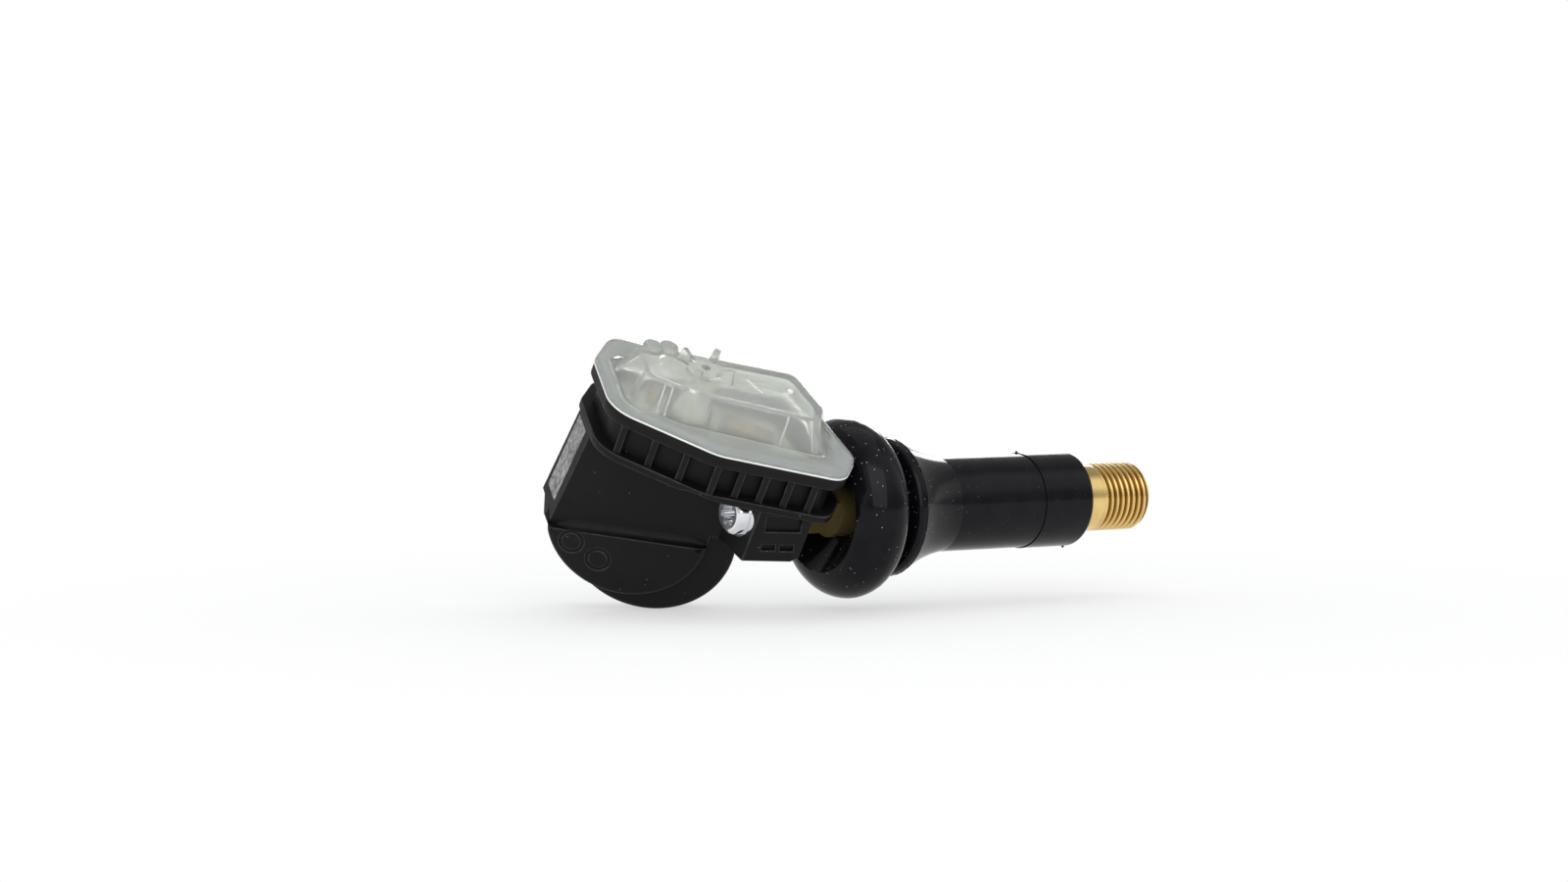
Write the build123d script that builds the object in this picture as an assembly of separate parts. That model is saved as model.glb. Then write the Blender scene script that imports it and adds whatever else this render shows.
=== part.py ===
from build123d import *
from math import cos, radians, sin, tan
import os

# Tyre pressure sensor on a snap-in rubber valve. Millimetres and degrees.
# The valve stem lies along +X, pointing out of the wheel, and the origin is the
# middle of the rim groove. The case has its own axes: x along the case towards the
# valve, y to its back, z up through the lid, from a datum on the stem's axis.

# How the case hangs on the stem
case_roll = 33.3        # lean of the lid about the stem, from +Z
case_tilt = 36.0        # angle between the case and the stem
case_datum = 2.9        # from the rim groove back to the case's datum

# Rubber valve body
rim_grip = 2.4          # width of the rim groove
groove_r = 5.9
bulb_r = 10.0
bulb_depth = 5.8        # from the groove to the base of the bulb
bulb_base_r = 7.0       # crest of the base ring
bulb_back_r = 9.3       # edge that seals on the rim
dish_depth = 3.4        # hollow of the base round the collar
bead_r = 7.7
bead_width = 1.2
cone_length = 6.6
sleeve_r = 5.35
sleeve_end_r = 5.45
sleeve_step = 7.1       # length of the thicker end of the sleeve
rubber_length = 28.0    # from the rim groove to the end of the rubber
rubber_round = 0.7
dish_round = 0.35       # sag of the dish's arc, as a share of its depth

# Brass stem
thread_r = 3.87
tip_length = 9.7        # bare brass beyond the rubber
tip_chamfer = 0.6
tip_anchor = 1.6        # thick end that stays in the rubber
tube_r = 2.9
anchor_ring_r = 3.6
anchor_ring_width = 1.4
anchor_ring_pitch = 4.2
anchor_ring_count = 4
anchor_ring_start = 6.0
collar_r = 3.1
collar_length = 2.3
tenon_width = 4.0
tenon_length = 8.4
tenon_chamfer = 0.3
air_bore_r = 1.2
vent_r = 0.8
blind_wall = 2.0        # brass between the air bore and the screw hole

# Valve core
chamber_r = 2.65        # threaded mouth of the stem
seat_r = 2.05           # bore below the sealing cone
seat_drop = 2.2         # length of the sealing cone
lower_chamber_depth = 21.0
core_head_depth = 1.3   # top of the core below the tip
core_head_length = 5.2
core_flat_length = 2.3
core_flat_width = 2.8
barrel_r = 1.7
barrel_length = 7.1
barrel_bore_r = 1.15
barrel_floor = 1.2
barrel_hole_r = 0.8
core_seal_length = 1.8
pin_r = 0.5
pin_guide_clear = 0.06
pin_depth = 0.2         # end of the pin below the tip
pin_collar_r = 1.0
pin_collar_length = 0.6
pin_collar_gap = 0.5    # between the guide and the collar
pin_foot_r = 0.95
pin_foot_length = 0.5
pin_seal_r = 1.45
pin_seal_length = 1.5
seal_gap = 0.03         # closed seals stand this far off their seats
fit_gap = 0.05          # screwed and pressed pieces
spring_wire_r = 0.14
spring_r = 0.82
spring_turns = 7

# Fixing screw
screw_r = 1.5
screw_head_r = 2.3
screw_head_height = 1.9
screw_flange_r = 2.55
screw_flange_height = 0.5
screw_round = 0.6
screw_length = 9.0
lobe_r = 0.42           # six-lobe drive
lobe_circle_r = 0.95
drive_depth = 1.1
screw_seat = 14.3       # from the case's datum back to the seat of the head
screw_channel_r = 2.8

# Outline of the lid and the weld flange: corners in the case's x and y
rim_front_right = (-2.5, -9.3)
rim_front_bend = (-16.5, -12.75)
rim_front_left = (-28.9, -10.5)
rim_left_mid = (-32.1, -1.8)
rim_left_back = (-31.2, 3.5)
rim_back = 6.2          # y of the far corner at the stem
rim_right_turn = -4.8   # y where the right edge turns square to the stem
rim_to_bulb = 4.3       # that edge stands this far behind the datum, along the stem
rim_corner_r = 2.2
rim_front_r = 4.6       # the two corners of the front's left part
inner_corner_r = 0.7

# Case
rim_top = 8.3
rim_height = 1.5
band_bottom = 3.3       # ribbed band under the flange
band_inset = 1.3
lip_height = 0.9
wall = 1.0
rib_width = 0.8
rib_shift = 0.5         # middle rib, right of the rim's bend
rib_pitch_left = 3.6
rib_pitch_right = 2.7
rib_count_left = 4
rib_count_right = 5
front_face = 6.6        # flat front wall, in front of the datum
back_face = 3.4
reach = 40.0            # longer than the case, for cuts that run right through it
left_lean = 5.0         # the two left faces lean out below the lip
left_inset = 0.35       # they stand this far inside the lip
left_low = -10.5        # z where they end
low_tilt = 12.0         # lean of the lower case's lines to the lid
block_end = 8.7         # end face at the stem, behind the datum along the stem
block_bottom = -2.4     # below the stem, at the datum
block_inset = 0.5       # front of the stem block, behind the edge of the rim
block_bevel = 1.5       # cut corner under the stem
drum_x = -21.0
drum_z = -7.2
drum_face_r = 9.1
drum_face_shift = (-1.75, 0.6)  # middle of the drum's face, from the drum's
drum_proud = 1.0        # that face in front of the flat wall
drum_skirt_r = 9.5      # lower step behind the face
drum_skirt_shift = (1.05, -0.75)
drum_skirt_drop = 1.4   # front of the step, behind the face
drum_round = 0.6
cheek_r = 7.05          # left side of the drum, which runs on from the left faces
cheek_shift = (-4.6, 0.2)
cheek_front = 5.0       # in front of the datum
crease_drop = 0.8       # ledge over the drum's face, below the drum's middle
pocket_depth = 0.4
pocket_size = (3.8, 2.0)
pocket_spot = (9.9, 1.1)    # along the front from the rim's bend, and up
small_pocket_size = (1.4, 0.8)
small_pocket_spots = ((9.2, -2.2), (11.2, -1.8))
mould_ring_spots = ((-28.0, -10.9), (-24.6, -12.0))  # round marks on the drum's face
mould_ring_r = 1.4
mould_ring_width = 0.3
mould_ring_depth = 0.15
bay_floor = 3.3         # floor of the board bay over the stem block
slot_gap = 0.2

# Lid
lid_thick = 1.0
lid_edge_round = 0.7
roof_corners = (            # foot of the roof, in the case's x and y
    (-5.6, -2.3),
    (-10.2, 4.05),
    (-30.3, -1.45),
    (-27.3, -9.8),
    (-20.5, -9.85),
    (-5.6, -6.95),
)
roof_height = 3.2
roof_draft = 22.0
roof_wall = 0.9
roof_corner_r = 1.6
roof_front_r = 3.0
roof_round = 0.5
hollow_corner_r = 0.8
hollow_front_r = 1.8
groove_width = 0.6
groove_depth = 0.3
port_x = -20.5
port_y = -3.6
port_r = 2.0
port_rise = 0.5
port_bore_r = 0.5
fin_length = 1.4
fin_height = 1.5
fin_top = 0.35
fin_thick = 0.7
fin_count = 4
fin_start = 75.0
bump_r = 1.1
bump_rise = 0.5
bump_spots = ((-26.6, -2.1), (-24.9, -1.2))
wall_rib_thick = 0.4
wall_rib_depth = 1.6
wall_ribs_x = (-24.2, -23.3, -10.4)

# Electronics
cell_x = -20.6
cell_r = 8.0
cell_height = 3.2
cell_cap_r = 6.9
cell_cap_height = 0.6
cell_front = 2.2        # front of the cell, in front of the datum
tab_thick = 0.25
tab_width = 4.0
tab_drop = 7.0
board_thick = 0.8
board_rise = 1.2        # board over the floor of its bay
board_inset = 2.5
post_r = 1.1
post_spots = ((-27.2, 0.4), (-10.6, 2.0), (-26.4, -6.6), (-6.8, -6.2))
chip_size = 5.0
chip_height = 1.5
seal_r = 2.0
seal_waist_r = 1.6
seal_lip = 0.8
seal_bore_r = 0.6
coil_x = -13.9
coil_y = -3.2
coil_length = 6.0
coil_width = 2.4
coil_height = 2.0
coil_end = 1.1
winding_thick = 0.3
crystal_x = -25.2
crystal_y = -4.6
crystal_length = 3.2
crystal_width = 2.5
crystal_height = 0.8
cap_length = 1.6
cap_width = 0.8
cap_height = 0.8
cap_pitch = 1.2
cap_rows_x = (-15.4, -24.6)
cap_rows_y = 1.0
caps_per_row = 3

# Stations along the stem
bulb_back = -rim_grip / 2
bulb_base = bulb_back - bulb_depth
dish_bottom = bulb_base + dish_depth
bead_front = rim_grip / 2
bead_end = bead_front + bead_width
cone_end = bead_end + cone_length
sleeve_start = rubber_length - sleeve_step
tip = rubber_length + tip_length
tenon_front = dish_bottom - collar_length
tenon_end = tenon_front - tenon_length
core_top = tip - core_head_depth
core_foot = core_top - core_head_length - barrel_length
spring_floor = core_foot + barrel_floor
collar_foot = core_top - core_flat_length - pin_collar_gap - pin_collar_length

# Levels in the case
rim_low = rim_top - rim_height
lip_low = band_bottom - lip_height
board_low = bay_floor + board_rise
board_top = board_low + board_thick
lid_top = rim_top + lid_thick
roof_top = lid_top + roof_height

tilted = Rot(Z=case_tilt)                      # stem's direction, in the case
case_place = Rot(X=case_roll) * Pos(X=-case_datum) * Rot(Z=-case_tilt)
stem_roll = Rot(X=case_roll)
front_plane = Plane.XZ                         # looks at the front of the case


def turned(*points):
    """Solid of revolution about the stem from x and radius pairs."""
    return revolve(Plane.XZ * make_face(Polyline(*points, close=True)), Axis.X)


def rod(r, start, end):
    return Pos(X=start) * (Plane.YZ * extrude(Circle(r), end - start))


def block(x0, x1, y0, y1, z0, z1):
    return Pos((x0 + x1) / 2, (y0 + y1) / 2, (z0 + z1) / 2) * Box(x1 - x0, y1 - y0, z1 - z0)


def prism(sketch, low, high):
    return Pos(Z=low) * extrude(sketch, high - low)


def upright(r, x, y, low, high):
    return Pos(x, y) * prism(Circle(r), low, high)


def stem_edge(y):
    """x of the rim's right edge, which is square to the stem, at a given y."""
    return (-rim_to_bulb - y * sin(radians(case_tilt))) / cos(radians(case_tilt))


def shrunk(corners, inset):
    """Face inside a closed run of corners, moved in by an inset."""
    face = make_face(Polyline(*corners, close=True))
    return offset(face, -inset, kind=Kind.INTERSECTION) if inset else face


def near_front(items):
    """The items at the two corners of the front's left part, and all the others."""
    corners = [Vector(*corner, rim_top) for corner in (rim_front_bend, rim_front_left)]
    front = [items.sort_by_distance(corner)[0] for corner in corners]
    return front, [item for item in items if item not in front]


def rim_shape(inset=0.0):
    """Outline of the lid and the weld flange, shrunk by an inset."""
    corners = [
        rim_front_right,
        rim_front_bend,
        rim_front_left,
        rim_left_mid,
        rim_left_back,
        (stem_edge(rim_back), rim_back),
        (stem_edge(rim_right_turn), rim_right_turn),
    ]
    face = shrunk(corners, inset)
    front, others = near_front(face.vertices())
    face = fillet(others, max(rim_corner_r - inset, inner_corner_r))
    front, others = near_front(face.vertices())
    return fillet(front, max(rim_front_r - inset, inner_corner_r))


def stem_blank():
    """Brass stem before drilling."""
    profile = [(dish_bottom, 0), (dish_bottom, tube_r)]
    for i in range(anchor_ring_count):
        start = bead_front + anchor_ring_start + i * anchor_ring_pitch - anchor_ring_width / 2
        end = start + anchor_ring_width
        profile += [(start, tube_r), (start, anchor_ring_r), (end, anchor_ring_r), (end, tube_r)]
    anchor = rubber_length - tip_anchor
    profile += [(anchor, tube_r), (anchor, anchor_ring_r), (rubber_length, anchor_ring_r)]
    profile += [(rubber_length, thread_r), (tip - tip_chamfer, thread_r)]
    profile += [(tip, thread_r - tip_chamfer), (tip, 0)]
    return turned(*profile) + rod(collar_r, tenon_front, dish_bottom)


def valve_stem():
    tenon = Box(tenon_length, tenon_width, tenon_width)
    tenon = chamfer(tenon.edges().filter_by(Axis.X), tenon_chamfer)
    tenon = stem_roll * Pos(X=(tenon_front + tenon_end) / 2) * tenon
    cone_top = core_top - core_head_length
    bore_end = tenon_front + collar_length / 2 - vent_r
    bore = turned(
        (bore_end, 0),
        (bore_end, air_bore_r),
        (tip - lower_chamber_depth, air_bore_r),
        (tip - lower_chamber_depth, seat_r),
        (cone_top - seat_drop, seat_r),
        (cone_top, chamber_r),
        (tip, chamber_r),
        (tip, 0),
    )
    vent = stem_roll * Pos(X=tenon_front + collar_length / 2) * Rot(X=-90)
    vent *= extrude(Circle(vent_r), collar_r * 2)
    screw_hole = rod(screw_r, tenon_end, bore_end - blind_wall)
    return stem_blank() + tenon - bore - vent - screw_hole


def valve_rubber():
    """Snap-in body moulded round the brass."""
    base_r = bulb_base_r
    shoulder = (bulb_base + bulb_depth * 0.18, base_r + (bulb_r - base_r) * 0.65)
    crown = (bulb_base + bulb_depth * 0.6, bulb_r)
    back = (bulb_back - rubber_round / 2, bulb_back_r)
    mid_dish = (bulb_base + dish_depth * (1 - dish_round), (collar_r + base_r) / 2 - dish_round)
    outline = [
        Line((dish_bottom, 0), (dish_bottom, collar_r)),
        ThreePointArc((dish_bottom, collar_r), mid_dish, (bulb_base, base_r)),
        ThreePointArc((bulb_base, base_r), shoulder, crown),
        TangentArc(crown, back, tangent=(1, 0)),
        Polyline(back, (bulb_back, bulb_back_r - rubber_round / 2), (bulb_back, groove_r)),
        Polyline((bulb_back, groove_r), (bead_front, groove_r), (bead_front, bead_r - rubber_round)),
        ThreePointArc(
            (bead_front, bead_r - rubber_round),
            (bead_front + rubber_round * 0.3, bead_r - rubber_round * 0.3),
            (bead_front + rubber_round, bead_r),
        ),
        Line((bead_front + rubber_round, bead_r), (bead_end, bead_r)),
        ThreePointArc(
            (bead_end, bead_r),
            (bead_end + cone_length * 0.45, sleeve_r + (bead_r - sleeve_r) * 0.4),
            (cone_end, sleeve_r),
        ),
        Polyline((cone_end, sleeve_r), (sleeve_start, sleeve_r), (sleeve_start, sleeve_end_r)),
        Line((sleeve_start, sleeve_end_r), (rubber_length - rubber_round, sleeve_end_r)),
        TangentArc(
            (rubber_length - rubber_round, sleeve_end_r),
            (rubber_length, sleeve_end_r - rubber_round),
            tangent=(1, 0),
        ),
        Polyline((rubber_length, sleeve_end_r - rubber_round), (rubber_length, 0), (dish_bottom, 0)),
    ]
    skin = revolve(Plane.XZ * make_face(Curve() + outline), Axis.X)
    return skin - stem_blank()


def core_body():
    """Core plug with two flats for its key, and the barrel below it."""
    flat_end = core_top - core_flat_length
    plug_end = core_top - core_head_length
    plug = rod(chamber_r - fit_gap, plug_end, core_top)
    flats = block(flat_end, core_top, -thread_r, thread_r, core_flat_width / 2, thread_r)
    flats += block(flat_end, core_top, -thread_r, thread_r, -thread_r, -core_flat_width / 2)
    barrel = rod(barrel_r, core_foot, plug_end)
    guide = rod(pin_r + pin_guide_clear, flat_end, core_top)
    well = rod(barrel_bore_r, spring_floor, flat_end)
    foot = rod(barrel_hole_r, core_foot, spring_floor)
    return plug - flats + barrel - guide - well - foot


def core_pin():
    seal_foot = core_foot - seal_gap - pin_seal_length
    return turned(
        (seal_foot - pin_foot_length, 0),
        (seal_foot - pin_foot_length, pin_foot_r),
        (seal_foot, pin_foot_r),
        (seal_foot, pin_r),
        (collar_foot, pin_r),
        (collar_foot, pin_collar_r),
        (collar_foot + pin_collar_length, pin_collar_r),
        (collar_foot + pin_collar_length, pin_r),
        (tip - pin_depth, pin_r),
        (tip - pin_depth, 0),
    )


def pin_seal():
    top = core_foot - seal_gap
    return rod(pin_seal_r, top - pin_seal_length, top) - rod(pin_r, top - pin_seal_length, top)


def core_seal():
    """Tapered ring between the barrel and the stem's cone."""
    slope = (chamber_r - seat_r) / seat_drop
    top = core_top - core_head_length
    foot = top - core_seal_length
    top_r = chamber_r - seal_gap
    foot_r = top_r - slope * core_seal_length
    return turned((foot, barrel_r), (foot, foot_r), (top, top_r), (top, barrel_r))


def core_spring():
    start = spring_floor + spring_wire_r + seal_gap
    length = collar_foot - seal_gap - spring_wire_r - start
    path = Helix(pitch=length / spring_turns, height=length, radius=spring_r)
    wire = sweep(Plane(path @ 0, z_dir=path % 0) * Circle(spring_wire_r), path, is_frenet=True)
    return Pos(X=start) * Rot(Y=90) * wire


def fixing_screw():
    """Pan head with a six-lobe drive; the shank reaches into the tenon. Along the stem, from its seat."""
    head = rod(screw_head_r, -screw_head_height, 0)
    head = fillet(head.faces().sort_by(Axis.X)[0].edges(), screw_round)
    head += rod(screw_flange_r, -screw_flange_height, 0)
    drive = Circle(lobe_circle_r) + PolarLocations(lobe_circle_r, 6) * Circle(lobe_r)
    drive = Pos(X=-screw_head_height) * (Plane.YZ * extrude(drive, drive_depth))
    shank = rod(screw_r, 0, screw_length)
    return Pos(X=-case_datum - screw_seat) * (head - drive + shank)


def ribs():
    """Upright ribs in the band under the front of the weld flange."""
    bend_x, bend_y = rim_front_bend
    slope_left = (rim_front_left[1] - bend_y) / (rim_front_left[0] - bend_x)
    slope_right = (rim_front_right[1] - bend_y) / (rim_front_right[0] - bend_x)
    middle = bend_x + rib_shift
    spots = [(middle - i * rib_pitch_left, slope_left) for i in range(rib_count_left)]
    spots += [(middle + i * rib_pitch_right, slope_right) for i in range(1, rib_count_right)]
    bars = Part()
    for x, slope in spots:
        front = bend_y + (x - bend_x) * slope + band_inset / 4
        half = rib_width / 2
        bars += block(x - half, x + half, front, front + band_inset + wall / 2, lip_low, rim_low)
    return bars


def cell_slot():
    """Room for the coin cell, which is let in from the bay above."""
    back = cell_height - cell_front + tab_thick + slot_gap
    front = cell_front + tab_thick + slot_gap
    r = cell_r + slot_gap
    round_end = front_plane.offset(-back) * Pos(cell_x, drum_z) * extrude(Circle(r), front + back)
    return round_end + block(cell_x - r, cell_x + r, -front, back, drum_z, bay_floor)


def left_slopes():
    """Room outside the two left faces, which lean out from the lip downwards."""
    lean = Vector(-tan(radians(left_lean)), 0, -1)
    corners = [rim_front_left, rim_left_mid, rim_left_back]
    room = Part()
    for start, end in zip(corners, corners[1:]):
        along = Vector(*end) - Vector(*start)
        face = Plane(origin=Vector(*start, lip_low), x_dir=along, z_dir=along.cross(lean))
        room += face.offset(-left_inset) * extrude(Rectangle(2 * reach, 2 * reach), reach)
    return room & block(-reach, reach, -reach, reach, left_low, reach)


def front_sketch(sketch, start, end):
    """Solid of a sketch in the case's x and z, between two distances in front of the datum."""
    return front_plane.offset(start) * extrude(sketch, end - start)


def drum():
    """Round room of the cell: a flat-faced barrel, and two that step out behind its face, below and left."""
    middle = Pos(drum_x, drum_z)
    face_front = front_face + drum_proud
    face = front_sketch(middle * Pos(*drum_face_shift) * Circle(drum_face_r), -back_face, face_front)
    face = fillet(face.edges().filter_by(GeomType.CIRCLE), drum_round)
    above = Pos(drum_x, drum_z - crease_drop) * Rot(Z=low_tilt) * Pos(Y=reach / 2)
    face -= front_sketch(above * Rectangle(reach * 2, reach), front_face, reach)
    mark = Circle(mould_ring_r) - Circle(mould_ring_r - mould_ring_width)
    floor = face_front - mould_ring_depth
    face -= [front_sketch(Pos(*spot) * mark, floor, reach) for spot in mould_ring_spots]
    skirt_front = face_front - drum_skirt_drop
    skirt = front_sketch(middle * Pos(*drum_skirt_shift) * Circle(drum_skirt_r), -back_face, skirt_front)
    cheek = front_sketch(middle * Pos(*cheek_shift) * Circle(cheek_r), -back_face, cheek_front)
    return face + [fillet(step.edges().filter_by(GeomType.CIRCLE), drum_round) for step in (skirt, cheek)]


def lower_case():
    """Front wall, and the block that holds the stem and stands out in front of it, up to the screw's seat."""
    rise = tan(radians(low_tilt))
    side = make_face(
        Polyline(
            (-reach, lip_low),
            (0, lip_low),
            (0, block_bottom),
            (drum_x, block_bottom + drum_x * rise),
            (-reach, left_low),
            close=True,
        )
    )
    stem_block = front_sketch(side, front_face, reach) & prism(rim_shape(block_inset), -reach, lip_low)
    stem_block -= tilted * block(-reach * 2, -screw_seat, -reach, reach, -reach, reach)
    return front_sketch(side, -back_face, front_face) + stem_block


def stem_end():
    """Room in front of the end face, with the cut corner under the stem."""
    low = block_bottom - block_end * tan(radians(low_tilt))
    corner = Polyline(
        (reach, reach),
        (-block_end, reach),
        (-block_end, low + block_bevel),
        (-block_end - block_bevel, low),
        (-block_end - block_bevel, -reach),
        (reach, -reach),
        close=True,
    )
    return tilted * front_sketch(make_face(corner), -reach, reach)


def housing():
    body = drum() + lower_case()
    body -= block(-reach, reach, -reach, reach, lip_low, reach)
    body = body - left_slopes() - stem_end()
    lip = prism(rim_shape(), lip_low, band_bottom)
    band = prism(rim_shape(band_inset), band_bottom, rim_low)
    flange = prism(rim_shape(), rim_low, rim_top)
    return body + lip + band + flange + ribs() - housing_hollows() + board_posts()


def housing_hollows():
    """Board bay, cell slot, stem socket, screw hole, driver channel and front pockets."""
    inner = band_inset + wall
    bay = prism(rim_shape(inner), bay_floor, rim_top)
    socket_end = case_datum + tenon_end - fit_gap
    socket_half = tenon_width / 2 + fit_gap
    socket = block(socket_end, 0, -socket_half, socket_half, -socket_half, socket_half)
    hole = rod(screw_r + fit_gap, -screw_seat, 0)
    channel = rod(screw_channel_r, -reach, -screw_seat)
    return bay + cell_slot() + tilted * (socket + hole + channel) + front_pockets()


def front_pockets():
    """Shallow pockets in the front of the stem block, which follows the rim's right part."""
    along = Vector(*rim_front_right) - Vector(*rim_front_bend)
    face = Plane(origin=Vector(*rim_front_bend), x_dir=along, z_dir=along.cross(Vector(0, 0, 1)))
    lean = Rot(Z=low_tilt)
    shapes = [Pos(*pocket_spot) * lean * Rectangle(*pocket_size)]
    shapes += [Pos(*spot) * lean * Rectangle(*small_pocket_size) for spot in small_pocket_spots]
    floor = face.offset(-block_inset - pocket_depth)
    return Part() + [floor * extrude(shape, pocket_depth + block_inset) for shape in shapes]


def lid():
    plate = prism(rim_shape(), rim_top, lid_top)
    plate = fillet(plate.faces().sort_by(Axis.Z)[-1].edges(), lid_edge_round)
    groove_low = lid_top - groove_depth
    groove = drafted(-groove_width, groove_low, roof_top, roof_corner_r, roof_front_r)
    roof = drafted(0, groove_low, roof_top, roof_corner_r, roof_front_r)
    roof = fillet(roof.faces().sort_by(Axis.Z)[-1].edges(), roof_round)
    hollow = drafted(roof_wall, rim_top, roof_top - roof_wall, hollow_corner_r, hollow_front_r)
    boss = upright(port_r, port_x, port_y, roof_top, roof_top + port_rise)
    bore = upright(port_bore_r, port_x, port_y, rim_top, roof_top + port_rise)
    return plate - groove + roof - (hollow - wall_ribs()) + boss + fins() + bumps() - bore


def drafted(inset, low, high, corner_r, front_r):
    """Block of the roof's outline whose walls lean in, with rounded corners."""
    solid = Pos(Z=low) * extrude(shrunk(roof_corners, inset), high - low, taper=roof_draft)
    front, others = near_front(leaning(solid))
    solid = fillet(others, corner_r)
    front, others = near_front(leaning(solid))
    return fillet(front, front_r)


def leaning(solid):
    """Edges that run up a wall."""
    return solid.edges().filter_by(lambda edge: edge.bounding_box().size.Z > roof_wall)


def fins():
    """Pointed fins that stand round the port."""
    shoulder = fin_length - fin_top
    shape = Polyline(
        (-fin_thick, 0),
        (fin_length, 0),
        (shoulder, fin_height),
        (shoulder - fin_top, fin_height),
        (-fin_thick, port_rise),
        close=True,
    )
    fin = Pos(X=port_r, Y=fin_thick / 2) * (Plane.XZ * extrude(make_face(shape), fin_thick))
    turns = [Rot(Z=fin_start + i * 360 / fin_count) for i in range(fin_count)]
    return [Pos(port_x, port_y, roof_top) * turn * fin for turn in turns]


def bumps():
    """Two round-topped bumps on the far left corner of the roof."""
    low = lid_top
    bump = Cylinder(bump_r, roof_top + bump_rise - low, align=(Align.CENTER, Align.CENTER, Align.MIN))
    bump = fillet(bump.faces().sort_by(Axis.Z)[-1].edges(), bump_rise)
    return [Pos(x, y, low) * bump for x, y in bump_spots]


def wall_ribs():
    """Stiffening ribs inside the front wall of the roof."""
    (bend_x, bend_y), (right_x, right_y) = roof_corners[-2:]
    slope = (right_y - bend_y) / (right_x - bend_x)
    half = wall_rib_thick / 2
    bars = []
    for x in wall_ribs_x:
        back = bend_y + slope * max(x - bend_x, 0) + roof_wall + wall_rib_depth
        bars.append(block(x - half, x + half, bend_y, back, rim_top, roof_top))
    return bars


def board_posts():
    """Posts in the corners of the bay that carry the board."""
    return [upright(post_r, x, y, bay_floor - wall, board_low) for x, y in post_spots]


def circuit_board():
    return prism(rim_shape(board_inset), board_low, board_top)


def coin_cell():
    can = cell_height - cell_cap_height
    cell = front_plane.offset(cell_front - can) * Pos(cell_x, drum_z) * extrude(Circle(cell_r), can)
    cap = front_plane.offset(cell_front - cell_height) * Pos(cell_x, drum_z)
    return cell + cap * extrude(Circle(cell_cap_r), cell_cap_height)


def battery_tab(front):
    """Flat strip that lies on one face of the cell and reaches the board."""
    half = tab_width / 2
    low = drum_z + cell_r - tab_drop
    return block(cell_x - half, cell_x + half, front - tab_thick, front, low, board_low)


def sensor_chip():
    return Pos(port_x, port_y, board_top + chip_height / 2) * Box(chip_size, chip_size, chip_height)


def port_seal():
    """Waisted silicone tube from the chip up to the underside of the lid's port."""
    low = board_top + chip_height
    high = roof_top - roof_wall
    profile = Polyline(
        (seal_bore_r, low),
        (seal_r, low),
        (seal_r, low + seal_lip),
        (seal_waist_r, low + 2 * seal_lip),
        (seal_waist_r, high - 2 * seal_lip),
        (seal_r, high - seal_lip),
        (seal_r, high),
        (seal_bore_r, high),
        close=True,
    )
    return Pos(port_x, port_y) * revolve(Plane.XZ * make_face(profile), Axis.Z)


def coil_core():
    waist = Box(coil_length, coil_width - winding_thick * 2, coil_height - winding_thick * 2)
    ends = [Pos(X=s * (coil_length - coil_end) / 2) * Box(coil_end, coil_width, coil_height) for s in (-1, 1)]
    return Pos(coil_x, coil_y, board_top + coil_height / 2) * (waist + ends)


def coil_winding():
    outer = Box(coil_length - 2 * coil_end, coil_width, coil_height)
    inner = Box(coil_length, coil_width - winding_thick * 2, coil_height - winding_thick * 2)
    return Pos(coil_x, coil_y, board_top + coil_height / 2) * (outer - inner)


def crystal():
    can = Box(crystal_length, crystal_width, crystal_height)
    return Pos(crystal_x, crystal_y, board_top + crystal_height / 2) * can


def capacitors():
    chips = []
    for x in cap_rows_x:
        for i in range(caps_per_row):
            place = Pos(x, cap_rows_y - i * cap_pitch, board_top + cap_height / 2)
            chips.append(place * Box(cap_length, cap_width, cap_height))
    return Compound(chips)


pieces = {
    "valve_rubber": valve_rubber(),
    "valve_stem": valve_stem(),
    "core_body": core_body(),
    "core_pin": core_pin(),
    "pin_seal": pin_seal(),
    "core_seal": core_seal(),
    "core_spring": core_spring(),
    "fixing_screw": fixing_screw(),
    "housing": case_place * housing(),
    "lid": case_place * lid(),
    "circuit_board": case_place * circuit_board(),
    "coin_cell": case_place * coin_cell(),
    "battery_tab_positive": case_place * battery_tab(-cell_front),
    "battery_tab_negative": case_place * battery_tab(cell_height - cell_front + tab_thick),
    "sensor_chip": case_place * sensor_chip(),
    "port_seal": case_place * port_seal(),
    "coil_core": case_place * coil_core(),
    "coil_winding": case_place * coil_winding(),
    "crystal": case_place * crystal(),
    "capacitors": case_place * capacitors(),
}

os.makedirs("parts", exist_ok=True)
for name, piece in pieces.items():
    export_step(piece, f"parts/{name}.step")
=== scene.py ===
import bmesh
import bpy
import math
import random
from mathutils import Matrix, Vector, geometry
from mathutils.bvhtree import BVHTree


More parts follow.
